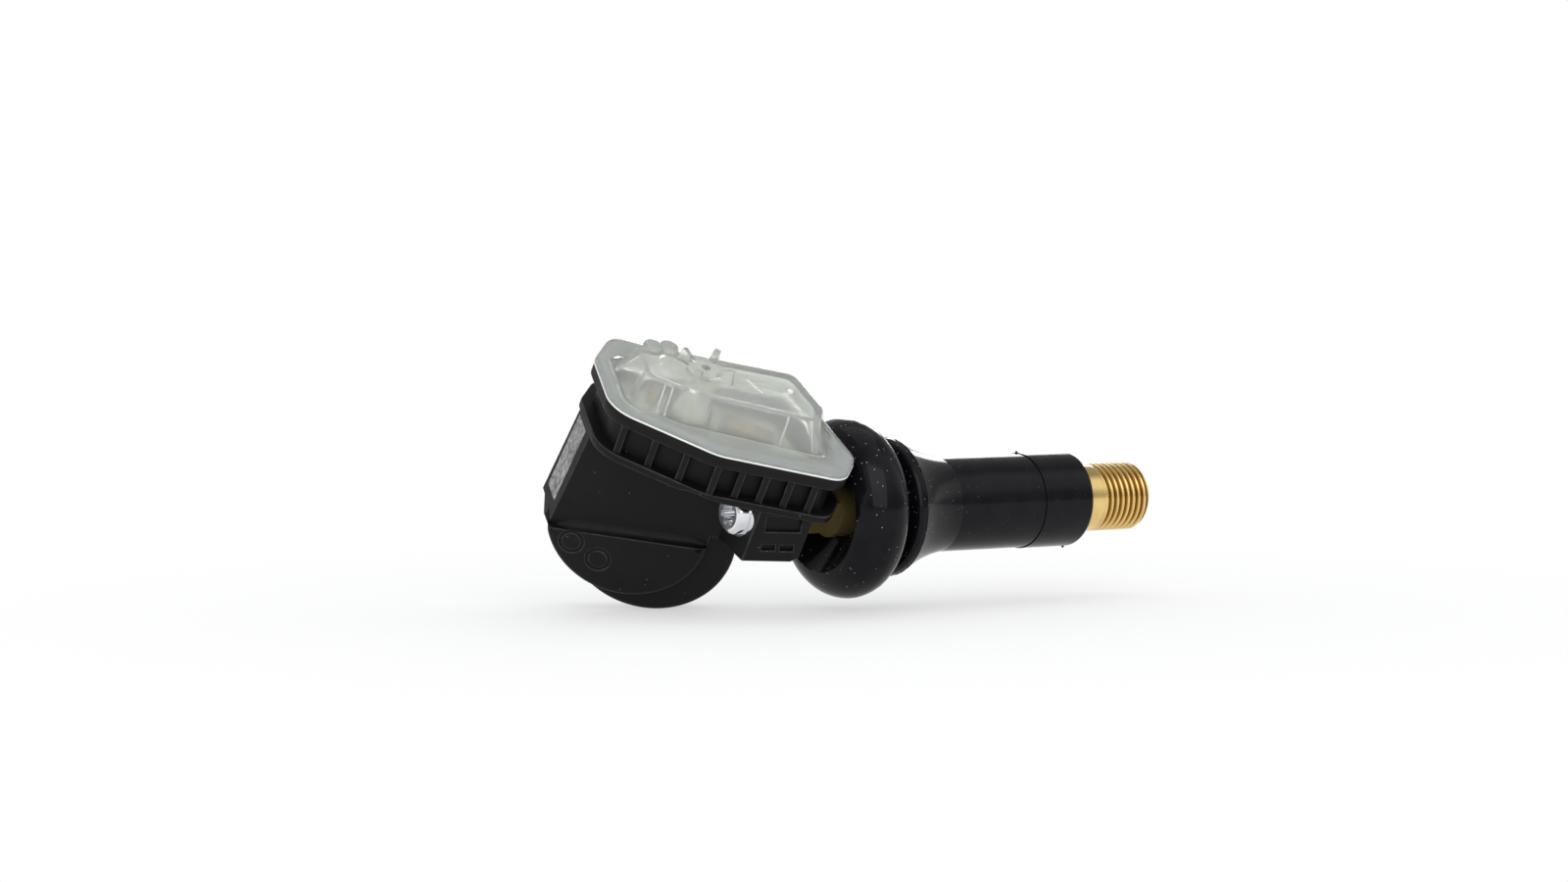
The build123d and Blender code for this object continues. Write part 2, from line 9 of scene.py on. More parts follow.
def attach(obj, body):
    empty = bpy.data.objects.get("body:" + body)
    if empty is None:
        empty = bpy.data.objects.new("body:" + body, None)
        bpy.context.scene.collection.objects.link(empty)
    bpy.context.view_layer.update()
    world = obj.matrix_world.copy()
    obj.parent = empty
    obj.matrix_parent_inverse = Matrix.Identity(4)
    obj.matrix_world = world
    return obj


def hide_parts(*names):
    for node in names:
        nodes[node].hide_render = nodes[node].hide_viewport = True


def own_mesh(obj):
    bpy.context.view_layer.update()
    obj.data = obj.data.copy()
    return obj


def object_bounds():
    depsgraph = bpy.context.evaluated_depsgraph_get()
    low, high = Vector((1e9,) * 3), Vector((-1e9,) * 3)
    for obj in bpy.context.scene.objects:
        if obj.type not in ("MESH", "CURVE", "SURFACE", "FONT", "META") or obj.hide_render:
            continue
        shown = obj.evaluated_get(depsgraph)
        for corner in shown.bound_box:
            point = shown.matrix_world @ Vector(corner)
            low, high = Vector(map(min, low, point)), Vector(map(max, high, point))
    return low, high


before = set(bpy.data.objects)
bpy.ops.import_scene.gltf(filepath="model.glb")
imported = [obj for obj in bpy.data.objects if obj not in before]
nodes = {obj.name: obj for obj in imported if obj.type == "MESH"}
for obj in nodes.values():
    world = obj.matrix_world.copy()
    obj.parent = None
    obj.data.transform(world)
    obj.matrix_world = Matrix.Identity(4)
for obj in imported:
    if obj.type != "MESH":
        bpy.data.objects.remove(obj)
cadLow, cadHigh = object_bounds()
mm = 0.001

caseSeat = {"roll": 33.3, "turn": -36.0, "datum": -2.9 * mm}   # how the case hangs on the stem
caseFrame = Matrix.Rotation(math.radians(caseSeat["roll"]), 4, "X")
caseFrame = caseFrame @ Matrix.Translation((caseSeat["datum"], 0.0, 0.0))
caseFrame = caseFrame @ Matrix.Rotation(math.radians(caseSeat["turn"]), 4, "Z")


def onCase(x, y, z):
    return caseFrame @ Vector((x * mm, y * mm, z * mm))   # case millimetres to the shared frame


def newGroup(name, inputs, outputs):
    tree = bpy.data.node_groups.new(name, "ShaderNodeTree")
    for socketName, value in inputs:
        socket = tree.interface.new_socket(socketName, in_out="INPUT", socket_type="NodeSocketFloat")
        socket.default_value = value
    for socketName, kind in outputs:
        tree.interface.new_socket(socketName, in_out="OUTPUT", socket_type=kind)
    return tree, tree.nodes.new("NodeGroupInput").outputs, tree.nodes.new("NodeGroupOutput").inputs


def setSocket(tree, socket, value):
    if isinstance(value, bpy.types.NodeSocket):
        tree.links.new(value, socket)
    else:
        socket.default_value = value


def addNode(tree, kind, settings=None, **values):
    node = tree.nodes.new(kind)
    for key, value in (settings or {}).items():
        setattr(node, key, value)
    for key, value in values.items():
        setSocket(tree, node.inputs[key.replace("_", " ")], value)
    return node


def mathNode(tree, operation, *values):
    node = addNode(tree, "ShaderNodeMath", {"operation": operation})
    for socket, value in zip(node.inputs, values):
        setSocket(tree, socket, value)
    return node.outputs[0]


def millimetres(tree):
    place = tree.nodes.new("ShaderNodeTexCoord").outputs["Object"]
    scaled = addNode(tree, "ShaderNodeVectorMath", {"operation": "SCALE"}, Vector=place, Scale=1 / mm)
    return scaled.outputs[0]


def distanceAlong(tree, way, start):
    offset = addNode(tree, "ShaderNodeVectorMath", {"operation": "SUBTRACT"})
    setSocket(tree, offset.inputs[0], millimetres(tree))
    setSocket(tree, offset.inputs[1], start / mm)
    along = addNode(tree, "ShaderNodeVectorMath", {"operation": "DOT_PRODUCT"})
    setSocket(tree, along.inputs[0], offset.outputs[0])
    setSocket(tree, along.inputs[1], way)
    return along.outputs["Value"]


def span(tree, value, low, high, start=0.0, end=1.0):
    node = addNode(tree, "ShaderNodeMapRange", {"clamp": True}, Value=value)
    for key, limit in (("From Min", low), ("From Max", high), ("To Min", start), ("To Max", end)):
        node.inputs[key].default_value = limit
    return node.outputs[0]


def blendColours(tree, factor, low, high):
    node = addNode(tree, "ShaderNodeMix", {"data_type": "RGBA"})
    tree.links.new(factor, node.inputs[0])
    for socket, value in ((node.inputs[6], low), (node.inputs[7], high)):
        setSocket(tree, socket, (*value, 1.0) if isinstance(value, tuple) else value)
    return node.outputs[2]


bumpLift = 0.02 * mm   # height of the bumps at full strength
noiseDetail = {"grain": 4.0, "mottle": 3.0, "rings": 3.0}
mottleSpan = (0.3, 0.7)   # the part of the noise that is stretched to a mask


def makeSpecks():
    tree, given, out = newGroup(
        "dustSpecks",
        [("perMm", 1.0), ("size", 0.1), ("share", 0.1)],
        [("mask", "NodeSocketFloat")],
    )
    cells = addNode(tree, "ShaderNodeTexVoronoi", Vector=millimetres(tree), Scale=given["perMm"])
    near = mathNode(tree, "LESS_THAN", cells.outputs["Distance"], given["size"])
    draw = addNode(tree, "ShaderNodeSeparateColor", Color=cells.outputs["Color"]).outputs[0]
    picked = mathNode(tree, "LESS_THAN", draw, given["share"])
    tree.links.new(mathNode(tree, "MULTIPLY", near, picked), out["mask"])
    return tree


def makeGrain():
    tree, given, out = newGroup(
        "fineGrain",
        [("perMm", 8.0), ("depth", 0.2)],
        [("normal", "NodeSocketVector")],
    )
    fine = addNode(
        tree, "ShaderNodeTexNoise",
        Vector=millimetres(tree), Scale=given["perMm"], Detail=noiseDetail["grain"],
    )
    bump = addNode(
        tree, "ShaderNodeBump",
        Strength=given["depth"], Distance=bumpLift, Height=fine.outputs["Fac"],
    )
    tree.links.new(bump.outputs[0], out["normal"])
    return tree


def makeMottle():
    tree, given, out = newGroup("softMottle", [("perMm", 0.5)], [("mask", "NodeSocketFloat")])
    cloud = addNode(
        tree, "ShaderNodeTexNoise",
        Vector=millimetres(tree), Scale=given["perMm"], Detail=noiseDetail["mottle"],
    )
    tree.links.new(span(tree, cloud.outputs["Fac"], *mottleSpan), out["mask"])
    return tree


def makeRings():
    tree, given, out = newGroup(
        "turningRings",
        [("perMm", 6.0), ("depth", 0.2)],
        [("normal", "NodeSocketVector"), ("mask", "NodeSocketFloat")],
    )
    along = addNode(tree, "ShaderNodeSeparateXYZ", Vector=millimetres(tree)).outputs["X"]
    scaled = mathNode(tree, "MULTIPLY", along, given["perMm"])
    marks = addNode(
        tree, "ShaderNodeTexNoise", {"noise_dimensions": "1D"},
        W=scaled, Scale=1.0, Detail=noiseDetail["rings"],
    )
    bump = addNode(
        tree, "ShaderNodeBump",
        Strength=given["depth"], Distance=bumpLift, Height=marks.outputs["Fac"],
    )
    tree.links.new(bump.outputs[0], out["normal"])
    tree.links.new(marks.outputs["Fac"], out["mask"])
    return tree


dustSpecks = makeSpecks()
fineGrain = makeGrain()
softMottle = makeMottle()
turningRings = makeRings()


def useGroup(tree, group, **values):
    return addNode(tree, "ShaderNodeGroup", {"node_tree": group}, **values)


def mottle(tree, perMm):
    return useGroup(tree, softMottle, perMm=perMm).outputs["mask"]


def specks(tree, look):
    return useGroup(tree, dustSpecks, **look).outputs["mask"]


def addGrain(tree, shader, look):
    grain = useGroup(tree, fineGrain, **look)
    tree.links.new(grain.outputs["normal"], shader.inputs["Normal"])


def newMaterial(name, **fixed):
    material = bpy.data.materials.new(name)
    material.use_nodes = True
    tree = material.node_tree
    shader = tree.nodes["Principled BSDF"]
    for key, value in fixed.items():
        shader.inputs[key.replace("_", " ")].default_value = value
    return material, tree, shader


def dress(nodeName, material):
    for slot in nodes[nodeName].material_slots:
        slot.material = material


print("stage: rubber, nylon and lid looks")

rubberLook = {
    "dark": (0.0035, 0.0035, 0.0048), "light": (0.0065, 0.0066, 0.0085), "dust": (0.34, 0.34, 0.35),
    "index": 1.5, "sheen": 0.14, "smooth": 0.08, "dull": 0.18, "cloudPerMm": 0.5,
    "fineDust": {"perMm": 2.6, "size": 0.17, "share": 0.09},
    "coarseDust": {"perMm": 1.7, "size": 0.11, "share": 0.16},
    "dustyEnd": -3.0, "cleanEnd": 12.0, "dustLeft": 0.12,   # dust thins out along the stem, mm
    "grain": {"perMm": 7.0, "depth": 0.10},
}


def makeRubber():
    look = rubberLook
    material, tree, shader = newMaterial(
        "blackRubber", IOR=look["index"], Specular_IOR_Level=look["sheen"],
    )
    cloud = mottle(tree, look["cloudPerMm"])
    fine = specks(tree, look["fineDust"])
    coarse = specks(tree, look["coarseDust"])
    along = addNode(tree, "ShaderNodeSeparateXYZ", Vector=millimetres(tree)).outputs["X"]
    dusty = span(tree, along, look["dustyEnd"], look["cleanEnd"], 1.0, look["dustLeft"])
    dust = mathNode(tree, "MULTIPLY", mathNode(tree, "MAXIMUM", fine, coarse), dusty)
    clean = blendColours(tree, cloud, look["dark"], look["light"])
    tree.links.new(blendColours(tree, dust, clean, look["dust"]), shader.inputs["Base Color"])
    gloss = span(tree, cloud, 0.0, 1.0, look["smooth"], look["dull"])
    tree.links.new(gloss, shader.inputs["Roughness"])
    addGrain(tree, shader, look["grain"])
    return material


caseLook = {   # what plain and rubbed nylon share
    "index": 1.45, "sheen": 0.2, "dustColour": (0.30, 0.30, 0.31),
    "dust": {"perMm": 2.0, "size": 0.09, "share": 0.06}, "grain": {"perMm": 12.0, "depth": 0.30},
}
nylonLook = {
    "dark": (0.0040, 0.0040, 0.0046), "light": (0.0075, 0.0075, 0.0084),
    "smooth": 0.40, "dull": 0.56, "cloudPerMm": 0.35,
}
edgeHighlightLook = {   # painted highlight: the rounded edges of the case get this lighter nylon
    "dark": (0.014, 0.014, 0.016), "light": (0.048, 0.048, 0.051),
    "smooth": 0.32, "dull": 0.46, "cloudPerMm": 0.8,
}
patchLook = {   # pale laser-dulled patch on the left face, case millimetres
    "corner": (-28.9, -10.5, 2.4), "along": (-0.345, 0.939, 0.0), "down": (-0.077, -0.028, -0.997),
    "from": 5.4, "to": 8.7, "top": 0.7, "bottom": 10.2, "within": 0.8,
    "dark": (0.10, 0.10, 0.10), "light": (0.46, 0.46, 0.45), "cloudPerMm": 1.6,
}


def between(tree, value, low, high):
    above = mathNode(tree, "GREATER_THAN", value, low)
    return mathNode(tree, "MULTIPLY", above, mathNode(tree, "LESS_THAN", value, high))


def patchMask(tree):
    corner = onCase(*patchLook["corner"])
    along = (caseFrame.to_3x3() @ Vector(patchLook["along"])).normalized()
    down = (caseFrame.to_3x3() @ Vector(patchLook["down"])).normalized()
    within = patchLook["within"]
    wide = between(tree, distanceAlong(tree, along, corner), patchLook["from"], patchLook["to"])
    tall = between(tree, distanceAlong(tree, down, corner), patchLook["top"], patchLook["bottom"])
    near = between(tree, distanceAlong(tree, along.cross(down), corner), -within, within)
    return mathNode(tree, "MULTIPLY", mathNode(tree, "MULTIPLY", wide, tall), near)


def makeNylon(name, look):
    material, tree, shader = newMaterial(
        name, IOR=caseLook["index"], Specular_IOR_Level=caseLook["sheen"],
    )
    cloud = mottle(tree, look["cloudPerMm"])
    dust = specks(tree, caseLook["dust"])
    clean = blendColours(tree, cloud, look["dark"], look["light"])
    dusty = blendColours(tree, dust, clean, caseLook["dustColour"])
    blotches = mottle(tree, patchLook["cloudPerMm"])
    pale = blendColours(tree, blotches, patchLook["dark"], patchLook["light"])
    tree.links.new(blendColours(tree, patchMask(tree), dusty, pale), shader.inputs["Base Color"])
    gloss = span(tree, cloud, 0.0, 1.0, look["smooth"], look["dull"])
    tree.links.new(gloss, shader.inputs["Roughness"])
    addGrain(tree, shader, caseLook["grain"])
    return material


lidLook = {
    "colour": (0.905, 0.945, 0.88), "cloudy": (0.945, 0.968, 0.915),
    "rough": 0.15, "through": 0.78, "index": 1.42, "cloudPerMm": 0.25,
    "soft": 0.5, "softReach": 1.2 * mm, "softTint": (1.0, 1.0, 0.9),
    "grain": {"perMm": 4.0, "depth": 0.10},
}


def makeMilky():
    look = lidLook
    material, tree, shader = newMaterial(
        "milkyPlastic", Roughness=look["rough"], Transmission_Weight=look["through"], IOR=look["index"],
        Subsurface_Weight=look["soft"], Subsurface_Scale=look["softReach"],
        Subsurface_Radius=look["softTint"],
    )
    cloud = mottle(tree, look["cloudPerMm"])
    tree.links.new(blendColours(tree, cloud, look["colour"], look["cloudy"]), shader.inputs["Base Color"])
    addGrain(tree, shader, look["grain"])
    return material


rubber = makeRubber()
nylon = makeNylon("blackNylon", nylonLook)
edgeHighlightNylon = makeNylon("paintedEdgeHighlightNylon", edgeHighlightLook)
dress("valve_rubber", rubber)
dress("lid", makeMilky())


print("stage: metal looks")

metalLooks = {   # dark, light, mottle per mm, smooth, dull, turning marks per mm
    "coreBrass": ((0.50, 0.35, 0.13), (0.64, 0.47, 0.20), 0.6, 0.20, 0.34, 12.0),
    "zincPlate": ((0.70, 0.72, 0.75), (0.88, 0.89, 0.90), 0.8, 0.08, 0.20, 6.0),
    "coreSteel": ((0.46, 0.46, 0.47), (0.62, 0.62, 0.62), 0.8, 0.20, 0.34, 10.0),
    "springSteel": ((0.42, 0.42, 0.44), (0.58, 0.58, 0.60), 1.5, 0.18, 0.30, 3.0),
    "cellSteel": ((0.55, 0.55, 0.56), (0.68, 0.68, 0.68), 0.3, 0.20, 0.36, 4.0),
    "nickelStrip": ((0.52, 0.51, 0.48), (0.64, 0.62, 0.58), 0.9, 0.24, 0.40, 8.0),
    "crystalCan": ((0.58, 0.57, 0.54), (0.72, 0.71, 0.68), 1.2, 0.18, 0.30, 8.0),
    "copperWire": ((0.22, 0.15, 0.10), (0.32, 0.22, 0.15), 1.8, 0.30, 0.44, 7.0),
}


markDepth = 0.12
markShare = 0.4   # of the wear that follows the turning marks; the rest is mottle


def wornMask(tree, rings, cloud):
    rest = mathNode(tree, "MULTIPLY", cloud, 1 - markShare)
    return mathNode(tree, "MULTIPLY_ADD", rings.outputs["mask"], markShare, rest)


def makeMetal(name):
    dark, light, perMm, smooth, dull, marks = metalLooks[name]
    material, tree, shader = newMaterial(name, Metallic=1.0)
    cloud = mottle(tree, perMm)
    rings = useGroup(tree, turningRings, perMm=marks, depth=markDepth)
    worn = wornMask(tree, rings, cloud)
    tree.links.new(blendColours(tree, worn, dark, light), shader.inputs["Base Color"])
    tree.links.new(span(tree, worn, 0.0, 1.0, smooth, dull), shader.inputs["Roughness"])
    tree.links.new(rings.outputs["normal"], shader.inputs["Normal"])
    return material


metals = {name: makeMetal(name) for name in metalLooks}

stemLook = {
    # root is the painted shade colour for the thread's grooves
    "dark": (0.68, 0.46, 0.16), "light": (0.88, 0.65, 0.28), "root": (0.24, 0.13, 0.03),
    # painted shade: the brass turns darker and less metallic towards the rubber end, inside the bulb and
    # under the case
    "insideShade": (0.16, 0.125, 0.045), "insideShadeMetal": 0.3,
    "smooth": 0.13, "dull": 0.26, "cloudPerMm": 0.4, "marks": {"perMm": 9.0, "depth": 0.10},
    "insideShadeFrom": 2.0, "insideShadeFull": -3.0, "threadFrom": 30.6,   # along the stem, mm
    "rootR": 3.46, "crestR": 3.80, "endR": 3.3,   # the end face inside endR is left without the painted groove shade, mm
}


def makeStemBrass():
    look = stemLook
    material, tree, shader = newMaterial("turnedBrass")
    cloud = mottle(tree, look["cloudPerMm"])
    rings = useGroup(tree, turningRings, **look["marks"])
    worn = wornMask(tree, rings, cloud)
    bright = blendColours(tree, worn, look["dark"], look["light"])
    place = addNode(tree, "ShaderNodeSeparateXYZ", Vector=millimetres(tree)).outputs
    upSquared = mathNode(tree, "MULTIPLY", place["Z"], place["Z"])
    radius = mathNode(tree, "SQRT", mathNode(tree, "MULTIPLY_ADD", place["Y"], place["Y"], upSquared))
    # painted shade: the thread's roots are darkened towards the root colour, the deeper the darker
    depth = span(tree, radius, look["rootR"], look["crestR"], 1.0, 0.0)
    beyond = mathNode(tree, "GREATER_THAN", place["X"], look["threadFrom"])
    threaded = mathNode(tree, "MULTIPLY", beyond, mathNode(tree, "GREATER_THAN", radius, look["endR"]))
    grooveShade = mathNode(tree, "MULTIPLY", depth, threaded)
    grooveShaded = blendColours(tree, grooveShade, bright, look["root"])
    # painted shade: darker, less metallic brass towards the rubber end, where it sits between the bulb
    # and the case
    shadeInside = span(tree, place["X"], look["insideShadeFrom"], look["insideShadeFull"])
    tree.links.new(blendColours(tree, shadeInside, grooveShaded, look["insideShade"]), shader.inputs["Base Color"])
    tree.links.new(span(tree, shadeInside, 0.0, 1.0, 1.0, look["insideShadeMetal"]), shader.inputs["Metallic"])
    tree.links.new(span(tree, worn, 0.0, 1.0, look["smooth"], look["dull"]), shader.inputs["Roughness"])
    tree.links.new(rings.outputs["normal"], shader.inputs["Normal"])
    return material


metals["turnedBrass"] = makeStemBrass()
metalNodes = {
    "core_body": "coreBrass", "fixing_screw": "zincPlate", "core_pin": "coreSteel",
    "coin_cell": "cellSteel", "crystal": "crystalCan", "coil_winding": "copperWire",
    "battery_tab_positive": "nickelStrip", "battery_tab_negative": "nickelStrip",
}
for nodeName, metalName in metalNodes.items():
    dress(nodeName, metals[metalName])


print("stage: looks of the inner pieces")

innerLooks = {   # dark, light, mottle per mm, roughness; specks' colour, number per mm, size and share
    "pin_seal": (
        (0.016, 0.016, 0.017), (0.028, 0.028, 0.029), 1.0, 0.50,
        (0.10, 0.10, 0.10), 3.0, 0.10, 0.20,
    ),
    "core_seal": (
        (0.36, 0.04, 0.03), (0.48, 0.07, 0.05), 1.0, 0.40,
        (0.55, 0.20, 0.16), 3.0, 0.10, 0.20,
    ),
    "circuit_board": (
        (0.62, 0.66, 0.58), (0.72, 0.75, 0.68), 0.5, 0.38,
        (0.62, 0.52, 0.28), 0.8, 0.16, 0.60,
    ),
    "sensor_chip": (
        (0.026, 0.026, 0.028), (0.042, 0.042, 0.046), 1.0, 0.50,
        (0.14, 0.14, 0.15), 2.0, 0.08, 0.30,
    ),
    "coil_core": (
        (0.17, 0.17, 0.175), (0.23, 0.23, 0.235), 1.0, 0.60,
        (0.34, 0.33, 0.33), 4.0, 0.14, 0.40,
    ),
    "capacitors": (
        (0.38, 0.28, 0.18), (0.48, 0.36, 0.25), 1.0, 0.45,
        (0.62, 0.52, 0.42), 5.0, 0.12, 0.30,
    ),
}
innerGrain = {"perMm": 10.0, "depth": 0.2}
roughVaries = 0.08   # to either side


def makeInner(name):
    dark, light, perMm, rough, speckColour, specksPerMm, speckSize, share = innerLooks[name]
    material, tree, shader = newMaterial(name + "Look")
    cloud = mottle(tree, perMm)
    dots = specks(tree, {"perMm": specksPerMm, "size": speckSize, "share": share})
    plain = blendColours(tree, cloud, dark, light)
    tree.links.new(blendColours(tree, dots, plain, speckColour), shader.inputs["Base Color"])
    gloss = span(tree, cloud, 0.0, 1.0, rough - roughVaries, rough + roughVaries)
    tree.links.new(gloss, shader.inputs["Roughness"])
    addGrain(tree, shader, innerGrain)
    return material


for nodeName in innerLooks:
    dress(nodeName, makeInner(nodeName))

siliconeLook = {
    "dark": (0.96, 0.94, 0.80), "light": (0.985, 0.97, 0.86), "rough": 0.4, "cloudPerMm": 0.6,
    "soft": 0.25, "softReach": 2.5 * mm, "softTint": (1.0, 0.95, 0.8),
    "grain": {"perMm": 8.0, "depth": 0.15},
}


def makeSilicone():
    look = siliconeLook
    material, tree, shader = newMaterial(
        "creamSilicone", Roughness=look["rough"], Subsurface_Weight=look["soft"],
        Subsurface_Scale=look["softReach"], Subsurface_Radius=look["softTint"],
    )
    cloud = mottle(tree, look["cloudPerMm"])
    tree.links.new(blendColours(tree, cloud, look["dark"], look["light"]), shader.inputs["Base Color"])
    addGrain(tree, shader, look["grain"])
    return material


dress("port_seal", makeSilicone())


def addPiece(name, mesh, material, body="sensor"):
    piece = bpy.data.objects.new(name, mesh)
    bpy.context.collection.objects.link(piece)
    mesh.materials.clear()
    mesh.materials.append(material)
    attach(piece, body)
    return piece


print("stage: softened mould edges")

mouldEdge = {   # rounding of the case's outer edges, and what counts as an edge
    "width": 0.13 * mm, "segments": 2, "join": 0.002 * mm,
    "sharp": math.radians(32.0), "flat": math.radians(0.6),
}


def makeHousing():
    mesh = nodes["housing"].data.copy()
    work = bmesh.new()
    work.from_mesh(mesh)
    bmesh.ops.remove_doubles(work, verts=work.verts, dist=mouldEdge["join"])
    bmesh.ops.dissolve_limit(work, angle_limit=mouldEdge["flat"], verts=work.verts, edges=work.edges)
    weight = work.edges.layers.float.new("bevel_weight_edge")
    for edge in work.edges:
        rounded = edge.is_manifold and edge.is_convex and edge.calc_face_angle() > mouldEdge["sharp"]
        edge[weight] = 1.0 if rounded else 0.0
    work.to_mesh(mesh)
    work.free()
    piece = addPiece("mouldedHousing", mesh, nylon)
    mesh.materials.append(edgeHighlightNylon)
    bevel = piece.modifiers.new("roundedEdges", "BEVEL")
    bevel.width = mouldEdge["width"]
    bevel.segments = mouldEdge["segments"]
    bevel.limit_method = "WEIGHT"
    bevel.use_clamp_overlap = False   # clamped, the strips shrink to almost nothing
    bevel.harden_normals = True
    bevel.material = 1   # the rounded strips take the lighter finish, a painted edge highlight
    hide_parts("housing")


makeHousing()


print("stage: threaded stem")

thread = {
    "radius": 3.87 * mm, "depth": 0.46 * mm, "pitch": 0.794 * mm, "chamfer": 0.6 * mm,
    "start": 28.0 * mm, "collarEnd": 30.7 * mm, "runOut": 0.7 * mm, "end": 37.7 * mm,
    "around": 96, "perPitch": 14, "flank": 2.9, "root": 0.22,
    "margin": 0.02 * mm, "endFacing": 0.95,   # what tells the tip's outer faces from its end and bore
}


def threadRadius(x, angle):
    phase = ((x - thread["collarEnd"]) / thread["pitch"] - angle / (2 * math.pi)) % 1.0
    tooth = abs(phase - 0.5) * thread["flank"] - thread["root"]
    tooth = min(1.0, max(0.0, tooth))   # flat crest, rounded root
    cut = thread["depth"] * (1 - tooth * tooth * (3 - 2 * tooth))
    fade = min(1.0, max(0.0, (x - thread["collarEnd"]) / thread["runOut"]))
    bevel = thread["radius"] - (x - (thread["end"] - thread["chamfer"]))
    return min(thread["radius"] - cut * fade, bevel)


def makeStem():
    mesh = nodes["valve_stem"].data.copy()
    work = bmesh.new()
    work.from_mesh(mesh)
    inner = thread["radius"] - thread["chamfer"] - thread["margin"]
    tip = []   # the tip's plain outer faces, which the thread takes the place of
    for face in work.faces:
        middle = face.calc_center_median()
        beyond = middle.x > thread["start"] + thread["margin"]
        outside = math.hypot(middle.y, middle.z) > inner
        if beyond and outside and abs(face.normal.x) < thread["endFacing"]:
            tip.append(face)
    bmesh.ops.delete(work, geom=tip, context="FACES")
    length = thread["end"] - thread["start"]
    rows = int(length / thread["pitch"] * thread["perPitch"])
    rings = []
    for i in range(rows + 1):
        x = thread["start"] + length * i / rows
        ring = []
        for k in range(thread["around"]):
            angle = 2 * math.pi * k / thread["around"]
            r = threadRadius(x, angle)
            ring.append(work.verts.new((x, r * math.cos(angle), r * math.sin(angle))))
        rings.append(ring)
    for lower, upper in zip(rings, rings[1:]):
        for k in range(thread["around"]):
            after = (k + 1) % thread["around"]
            work.faces.new((lower[k], lower[after], upper[after], upper[k])).smooth = True
    work.to_mesh(mesh)
    work.free()
    stem = addPiece("threadedStem", mesh, metals["turnedBrass"])
    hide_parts("valve_stem")


makeStem()


print("stage: core spring")


def makeSpring():
    mesh = nodes["core_spring"].data.copy()
    spring = addPiece("coreSpring", mesh, metals["springSteel"])
    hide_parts("core_spring")
    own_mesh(spring)


makeSpring()


print("stage: moulding marks")

cove = {   # soft foot of the ledge over the drum's face, case millimetres
    "middle": (-21.0, -8.0), "tilt": 12.0, "from": -9.3, "to": 7.2, "steps": 24, "sink": 0.15,
    "wallFront": 6.6, "wide": 0.94, "tall": 0.9, "hollow": 0.154, "arcSteps": 5,
    "taper": 2.2, "endShare": 0.15,   # it thins out to this share at its ends
}


def coveSection(share):
    wide, tall, sink = cove["wide"] * share, cove["tall"] * share, cove["sink"]
    arc = []
    for i in range(cove["arcSteps"] + 1):   # hollow slope from the wall down to the ledge's edge
        t = i / cove["arcSteps"]
        dip = 4 * t * (1 - t) * cove["hollow"] * share
        arc.append((wide * t - dip, tall * (1 - t) - dip))
    return [(-sink, -sink), (-sink, tall), *arc, (wide, -sink)]


def makeCove():
    tilt = math.radians(cove["tilt"])
    corners, faces = [], []
    for k in range(cove["steps"] + 1):
        along = cove["from"] + (cove["to"] - cove["from"]) * k / cove["steps"]
        toEnd = min(along - cove["from"], cove["to"] - along)
        share = min(1.0, cove["endShare"] + toEnd / cove["taper"])
        for forward, up in coveSection(share):
            x = cove["middle"][0] + along * math.cos(tilt) - up * math.sin(tilt)
            z = cove["middle"][1] + along * math.sin(tilt) + up * math.cos(tilt)
            corners.append(onCase(x, -cove["wallFront"] - forward, z))
    count = len(coveSection(1.0))
    for k in range(cove["steps"]):
        here, after = k * count, (k + 1) * count
        for i in range(count):
            j = (i + 1) % count
            faces.append((here + i, here + j, after + j, after + i))
    last = cove["steps"] * count
    faces += [tuple(range(count))[::-1], tuple(range(last, last + count))]
    mesh = bpy.data.meshes.new("ledgeCove")
    mesh.from_pydata(corners, [], faces)
    mesh.shade_smooth()
    mesh.set_sharp_from_angle(angle=mouldEdge["sharp"])
    addPiece("ledgeCove", mesh, nylon)


makeCove()

# Bulged wall over the cell's edge at the stem's end, in the stem's millimetres before the roll.
cellBulge = {
    "wall": -13.1, "middle": (8.3, -7.3), "half": (1.9, 5.0), "tall": 0.8, "sink": 0.12, "around": 64,
    "square": 3.0,   # 2 would be an ellipse
    "rings": (   # share of the half sizes, and of the height; below zero is the sunken foot
        (1.0, -1.0), (1.0, 0.1), (0.97, 0.45), (0.90, 0.75), (0.78, 0.92), (0.5, 1.0),
    ),
}


def makeCellBulge():
    roll = Matrix.Rotation(math.radians(caseSeat["roll"]), 4, "X")
    around, square = cellBulge["around"], cellBulge["square"]
    corners, faces = [], []
    for share, height in cellBulge["rings"]:
        rise = cellBulge["tall"] * height if height > 0 else -cellBulge["sink"]
        for k in range(around):
            angle = 2 * math.pi * k / around
            way = (math.cos(angle), math.sin(angle))
            reach = share / sum(abs(w) ** square for w in way) ** (1 / square)
            y, z = (m + h * reach * w for m, h, w in zip(cellBulge["middle"], cellBulge["half"], way))
            corners.append(roll @ Vector(((cellBulge["wall"] + rise) * mm, y * mm, z * mm)))
    for ring in range(len(cellBulge["rings"]) - 1):
        for k in range(around):
            here, after = ring * around + k, ring * around + (k + 1) % around
            faces.append((here, after, after + around, here + around))
    last = (len(cellBulge["rings"]) - 1) * around
    faces += [tuple(range(around))[::-1], tuple(range(last, last + around))]
    mesh = bpy.data.meshes.new("cellBulge")
    mesh.from_pydata(corners, [], faces)
    mesh.shade_smooth()
    addPiece("cellBulge", mesh, nylon)


makeCellBulge()

rubberSeams = {   # ragged flash left by the mould: place along the stem, height and width
    "bulbSeam": {"x": -2.1 * mm, "height": 0.05 * mm, "width": 0.14 * mm, "seed": 3},
    "beadSeam": {"x": 2.25 * mm, "height": 0.13 * mm, "width": 0.16 * mm, "seed": 8},
}
seamSteps = 240
seamSink = 0.04 * mm


def rubberRadius(x):
    mesh = nodes["valve_rubber"].data
    skin = BVHTree.FromPolygons([v.co for v in mesh.vertices], [p.vertices for p in mesh.polygons])
    outside = Vector((x, 0.0, cadHigh.z))
    return skin.ray_cast(outside, Vector((0.0, 0.0, -1.0)))[0].z


